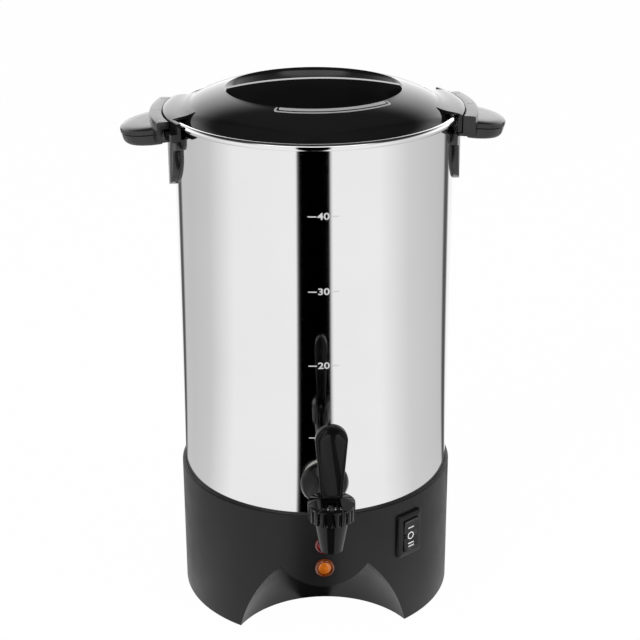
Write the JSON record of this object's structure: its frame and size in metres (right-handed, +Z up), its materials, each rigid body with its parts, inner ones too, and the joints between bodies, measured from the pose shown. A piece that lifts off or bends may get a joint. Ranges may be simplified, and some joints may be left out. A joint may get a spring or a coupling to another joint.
{
  "type": "coffee urn",
  "caption": "Tall steel coffee urn on a black base with a cup niche, a lever tap, two side handles, a lift-off lid and a percolator set inside.",
  "frame": {"origin": "on the table, under the middle of the whole outline from the tap's bonnet to the mains inlet; the tank's axis stands 39.725 mm behind it", "axes": "+Z up along the tank, the tap points to -Y, the handles lie along X"},
  "size_m": [0.2644, 0.281, 0.3817],
  "materials": {
    "base_plastic": "fine-grained matte black moulding",
    "screw_steel": "plated steel",
    "foot_rubber": "matte rubber",
    "amber_lens": "clear amber moulding",
    "red_lens": "clear red moulding",
    "switch_black": "satin black",
    "rocker_black": "semi-gloss black with white marks",
    "pin_brass": "plain brass",
    "polished_steel": "bright polished stainless steel",
    "heater_aluminium": "rolled sheet",
    "element_steel": "heat-dulled sheath",
    "thermostat_steel": "pressed steel",
    "fuse_ceramic": "ceramic body",
    "handle_plastic": "satin black heat-proof moulding",
    "lid_gloss": "glossy black heat-proof moulding",
    "seal_silicone": "translucent grey silicone",
    "tap_gloss": "glossy black",
    "lever_gloss": "semi-gloss black",
    "spring_steel": "stainless spring wire",
    "brew_aluminium": "spun aluminium"
  },
  "bodies": {
    "urn": {"base_housing": "base_plastic", "base_cover": "base_plastic", "cover_screws": "screw_steel", "rubber_feet": "foot_rubber", "tie_rods": "screw_steel", "tie_nuts": "screw_steel", "amber_lamp": "amber_lens", "red_lamp": "red_lens", "switch_body": "switch_black", "mains_inlet": "switch_black", "inlet_pins": "pin_brass", "tank": "polished_steel", "heater_plate": "heater_aluminium", "heating_element": "element_steel", "keep_warm_element": "element_steel", "thermostat": "thermostat_steel", "thermal_fuse": "fuse_ceramic", "handle_right": "handle_plastic", "handle_left": "handle_plastic", "handle_screws": "screw_steel", "tap_body": "tap_gloss", "tap_gasket_outer": "seal_silicone", "tap_gasket_inner": "seal_silicone", "tap_nut": "tap_gloss", "tap_bonnet": "tap_gloss", "tap_lever_pin": "screw_steel", "tap_spring": "spring_steel"},
    "lid_ring": {"lid_seal": "seal_silicone"},
    "lid": {"lid_shell": "lid_gloss"},
    "brew_set": {"pump_foot": "brew_aluminium", "pump_tube": "brew_aluminium", "coffee_basket": "brew_aluminium", "basket_cover": "brew_aluminium"},
    "lever": {"tap_lever": "lever_gloss"},
    "valve": {"tap_plunger": "seal_silicone"},
    "rocker": {"switch_rocker": "rocker_black"}
  },
  "joints": [
    {"name": "lid_lift", "type": "slide", "parent": "urn", "child": "lid_ring", "axis": [0, 0, 1], "range_m": [0, 0.12]},
    {"name": "lid_turn", "type": "hinge", "parent": "lid_ring", "child": "lid", "pos_m": [0, 0.03973, 0.36], "axis": [0, 0, -1], "range_deg": [0, 14]},
    {"name": "brew_lift", "type": "slide", "parent": "urn", "child": "brew_set", "axis": [0, 0, 1], "range_m": [0, 0.06]},
    {"name": "lever_pull", "type": "hinge", "parent": "urn", "child": "lever", "pos_m": [0, -0.12527, 0.14], "axis": [1, 0, 0], "range_deg": [0, 35], "stiffness_Nm_per_rad": 0.02, "springref_deg": -22.92},
    {"name": "valve_lift", "type": "slide", "parent": "urn", "child": "valve", "axis": [0, 0, 1], "range_m": [0, 0.003], "deforming": ["tap_spring"]},
    {"name": "rocker_tilt", "type": "hinge", "parent": "urn", "child": "rocker", "pos_m": [0.0607, -0.03797, 0.0717], "axis": [0.788, 0.6157, 0], "range_deg": [-10, 10]}
  ],
  "couplings": [
    {"joint": "brew_lift", "follows": "lid_lift", "ratio": 0.5},
    {"joint": "valve_lift", "follows": "lever_pull", "m_per_rad": 0.0049}
  ]
}
